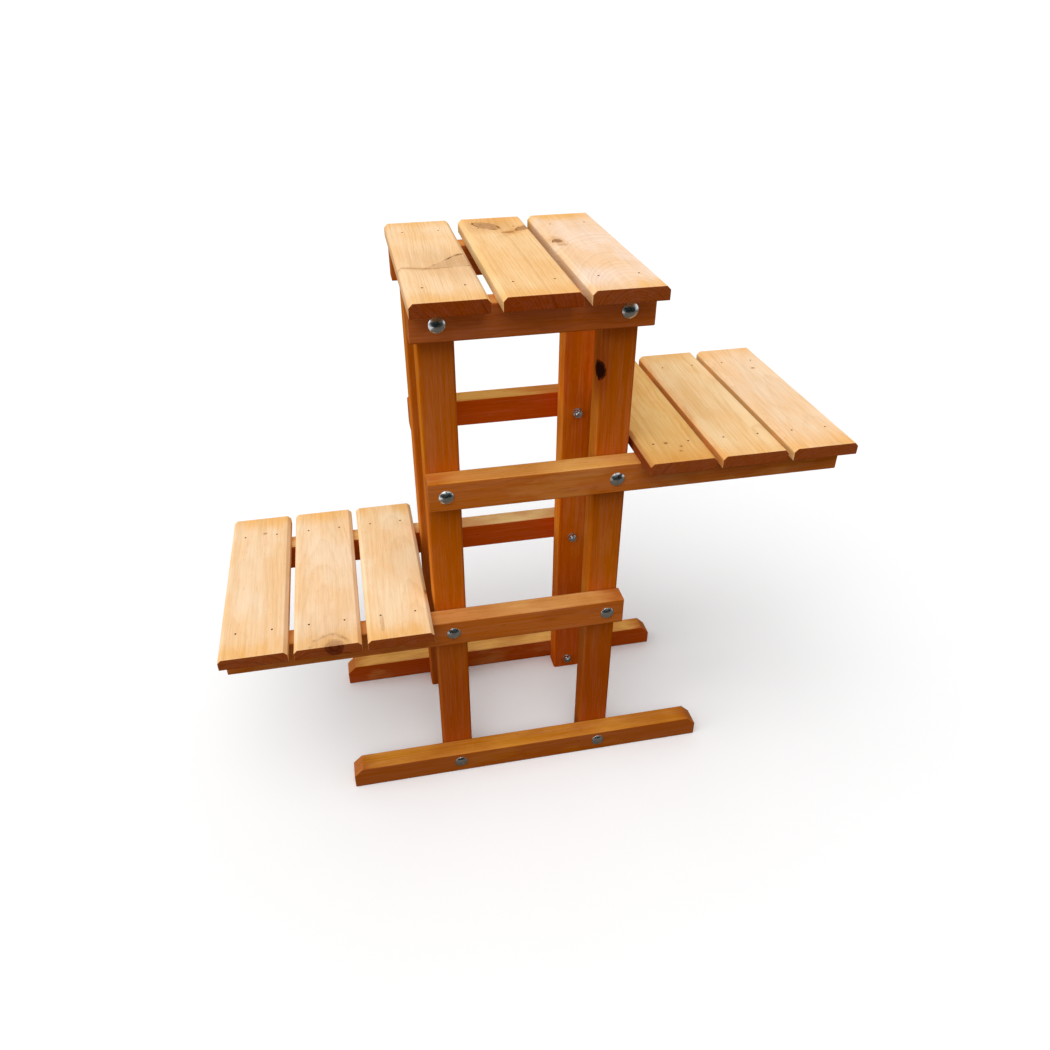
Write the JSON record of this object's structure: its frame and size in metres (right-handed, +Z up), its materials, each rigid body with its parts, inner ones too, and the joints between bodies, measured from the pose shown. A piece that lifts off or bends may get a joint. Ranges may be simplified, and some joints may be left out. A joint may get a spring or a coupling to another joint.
{
  "type": "plant ladder stand",
  "caption": "Stepped wooden plant stand: a bolted post-and-rail tower with a slatted shelf on top, a lower slatted shelf out to the left and a middle one out to the right.",
  "frame": {"origin": "on the floor, under the middle of the post tower, which is the bottom centre of the whole stand", "axes": "+X along the rails towards the middle-height shelf, +Y from the front frame to the back frame, +Z up"},
  "size_m": [0.71, 0.28, 0.647],
  "materials": {
    "pine_slats": "satin oiled pine, light top faces",
    "pine_frame": "satin oiled pine, honey orange",
    "zinc_bolts": "bright zinc plate",
    "zinc_nuts": "dull zinc plate",
    "nail_steel": "dark bare steel"
  },
  "bodies": {
    "root": {"front_left_post": "pine_frame", "front_right_post": "pine_frame", "back_left_post": "pine_frame", "back_right_post": "pine_frame", "front_top_rail": "pine_frame", "front_middle_rail": "pine_frame", "front_lower_rail": "pine_frame", "front_foot": "pine_frame", "back_top_rail": "pine_frame", "back_middle_rail": "pine_frame", "back_lower_rail": "pine_frame", "back_foot": "pine_frame", "top_slat_1": "pine_slats", "top_slat_2": "pine_slats", "top_slat_3": "pine_slats", "left_slat_1": "pine_slats", "left_slat_2": "pine_slats", "left_slat_3": "pine_slats", "right_slat_1": "pine_slats", "right_slat_2": "pine_slats", "right_slat_3": "pine_slats", "top_bolts": "zinc_bolts", "middle_bolts": "zinc_bolts", "lower_bolts": "zinc_bolts", "foot_bolts": "zinc_bolts", "top_washers": "zinc_nuts", "middle_washers": "zinc_nuts", "lower_washers": "zinc_nuts", "foot_washers": "zinc_nuts", "top_nuts": "zinc_nuts", "middle_nuts": "zinc_nuts", "lower_nuts": "zinc_nuts", "foot_nuts": "zinc_nuts", "top_nails": "nail_steel", "left_nails": "nail_steel", "right_nails": "nail_steel"}
  },
  "joints": []
}
